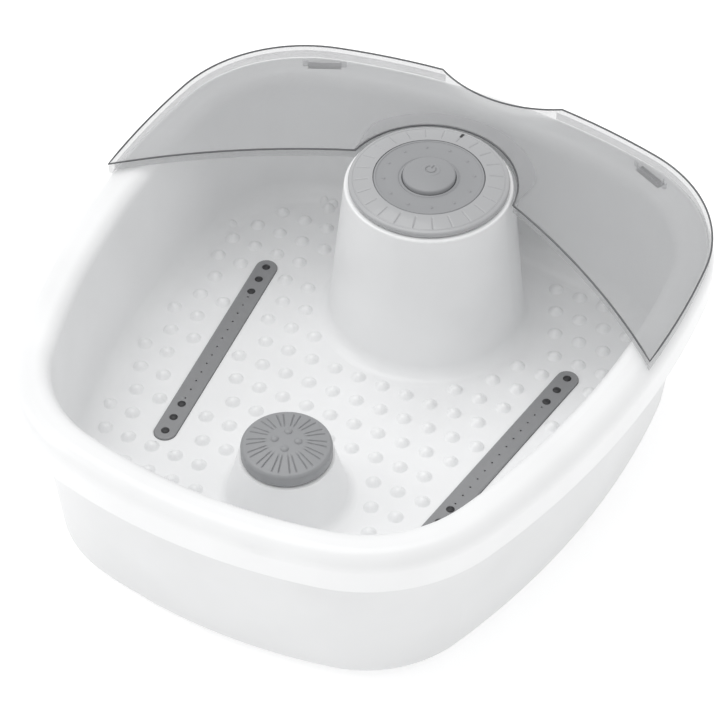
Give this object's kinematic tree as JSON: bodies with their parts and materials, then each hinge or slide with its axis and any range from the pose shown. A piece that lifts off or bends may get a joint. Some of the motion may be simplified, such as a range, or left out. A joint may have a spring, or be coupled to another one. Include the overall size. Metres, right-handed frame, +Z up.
{
  "type": "pedicure foot bath",
  "caption": "Pedicure foot bath with a rounded deep basin, a rotary control on a central column, bubble strips, a turning massage attachment and a lift-off splash guard.",
  "frame": {"origin": "on the ground, under the middle of the tub's plan", "axes": "+Z up, -Y towards the user's side, +X to the right; the plan is mirrored about X = 0"},
  "size_m": [0.367, 0.4039, 0.1441],
  "materials": {
    "white_shell": "gloss",
    "housing_white": "satin",
    "foot_rubber": "matte",
    "screw_steel": "satin",
    "smoke_plastic": "gloss",
    "magnet_black": "satin",
    "seal_rubber": "matte",
    "duct_plastic": "matte",
    "hose_silicone": "satin",
    "pump_case": "matte",
    "zinc_sheet": "satin",
    "element_steel": "satin",
    "sensor_black": "matte",
    "board_green": "satin",
    "switch_grey": "matte",
    "ring_clear": "gloss",
    "control_grey": "satin",
    "bush_plastic": "satin",
    "spring_steel": "satin",
    "guard_smoke": "gloss",
    "gland_black": "satin",
    "terminal_cream": "matte"
  },
  "bodies": {
    "bath": {"tub": "white_shell", "outer_housing": "housing_white", "rim_closure": "housing_white", "rubber_feet": "foot_rubber", "housing_screws": "screw_steel", "left_bubble_strip": "smoke_plastic", "right_bubble_strip": "smoke_plastic", "left_strip_magnets": "magnet_black", "right_strip_magnets": "magnet_black", "left_duct_gasket": "seal_rubber", "right_duct_gasket": "seal_rubber", "left_air_duct": "duct_plastic", "right_air_duct": "duct_plastic", "left_air_hose": "hose_silicone", "right_air_hose": "hose_silicone", "pump_mounts": "seal_rubber", "pump_bracket": "zinc_sheet", "air_pump": "pump_case", "heater_plate": "zinc_sheet", "heating_element": "element_steel", "thermostat": "sensor_black", "thermal_fuse": "sensor_black", "vibration_motor": "element_steel", "motor_clamp": "zinc_sheet", "clamp_screws": "screw_steel", "control_board": "board_green", "board_screws": "screw_steel", "rotary_switch": "switch_grey", "push_switch": "sensor_black", "dial_seal": "seal_rubber", "spindle_bush": "bush_plastic", "spindle_seal": "seal_rubber", "cable_gland": "gland_black", "gland_nut": "gland_black", "terminal_block": "terminal_cream"},
    "dial": {"dial_ring": "ring_clear", "dial_disc": "control_grey", "dial_pointer": "gland_black", "dial_shaft": "bush_plastic", "dial_clip": "spring_steel"},
    "button": {"push_button": "control_grey", "button_spring": "spring_steel"},
    "spindle": {"spindle": "bush_plastic", "spindle_clip": "spring_steel"},
    "attachment": {"massage_attachment": "control_grey"},
    "guard": {"splash_guard": "guard_smoke"},
    "rotor": {"motor_shaft": "screw_steel", "eccentric_weights": "element_steel"}
  },
  "joints": [
    {"name": "dial_turn", "type": "hinge", "parent": "bath", "child": "dial", "pos_m": [0, 0.097, 0.1346], "axis": [0, 0, 1], "range_deg": [-135, 0]},
    {"name": "button_press", "type": "slide", "parent": "bath", "child": "button", "axis": [0, 0, -1], "range_m": [0, 0.002], "stiffness_N_per_m": 400, "springref_m": -0.002, "deforming": ["button_spring"]},
    {"name": "spindle_turn", "type": "hinge", "parent": "bath", "child": "spindle", "pos_m": [0, -0.082, 0.0635], "axis": [0, 0, 1], "continuous": true},
    {"name": "attachment_lift", "type": "slide", "parent": "spindle", "child": "attachment", "axis": [0, 0, 1], "range_m": [0, 0.012]},
    {"name": "guard_lift", "type": "slide", "parent": "bath", "child": "guard", "axis": [0, 0, 1], "range_m": [0, 0.03]},
    {"name": "rotor_spin", "type": "hinge", "parent": "bath", "child": "rotor", "pos_m": [0, -0.136, 0.0182], "axis": [1, 0, 0], "continuous": true}
  ]
}
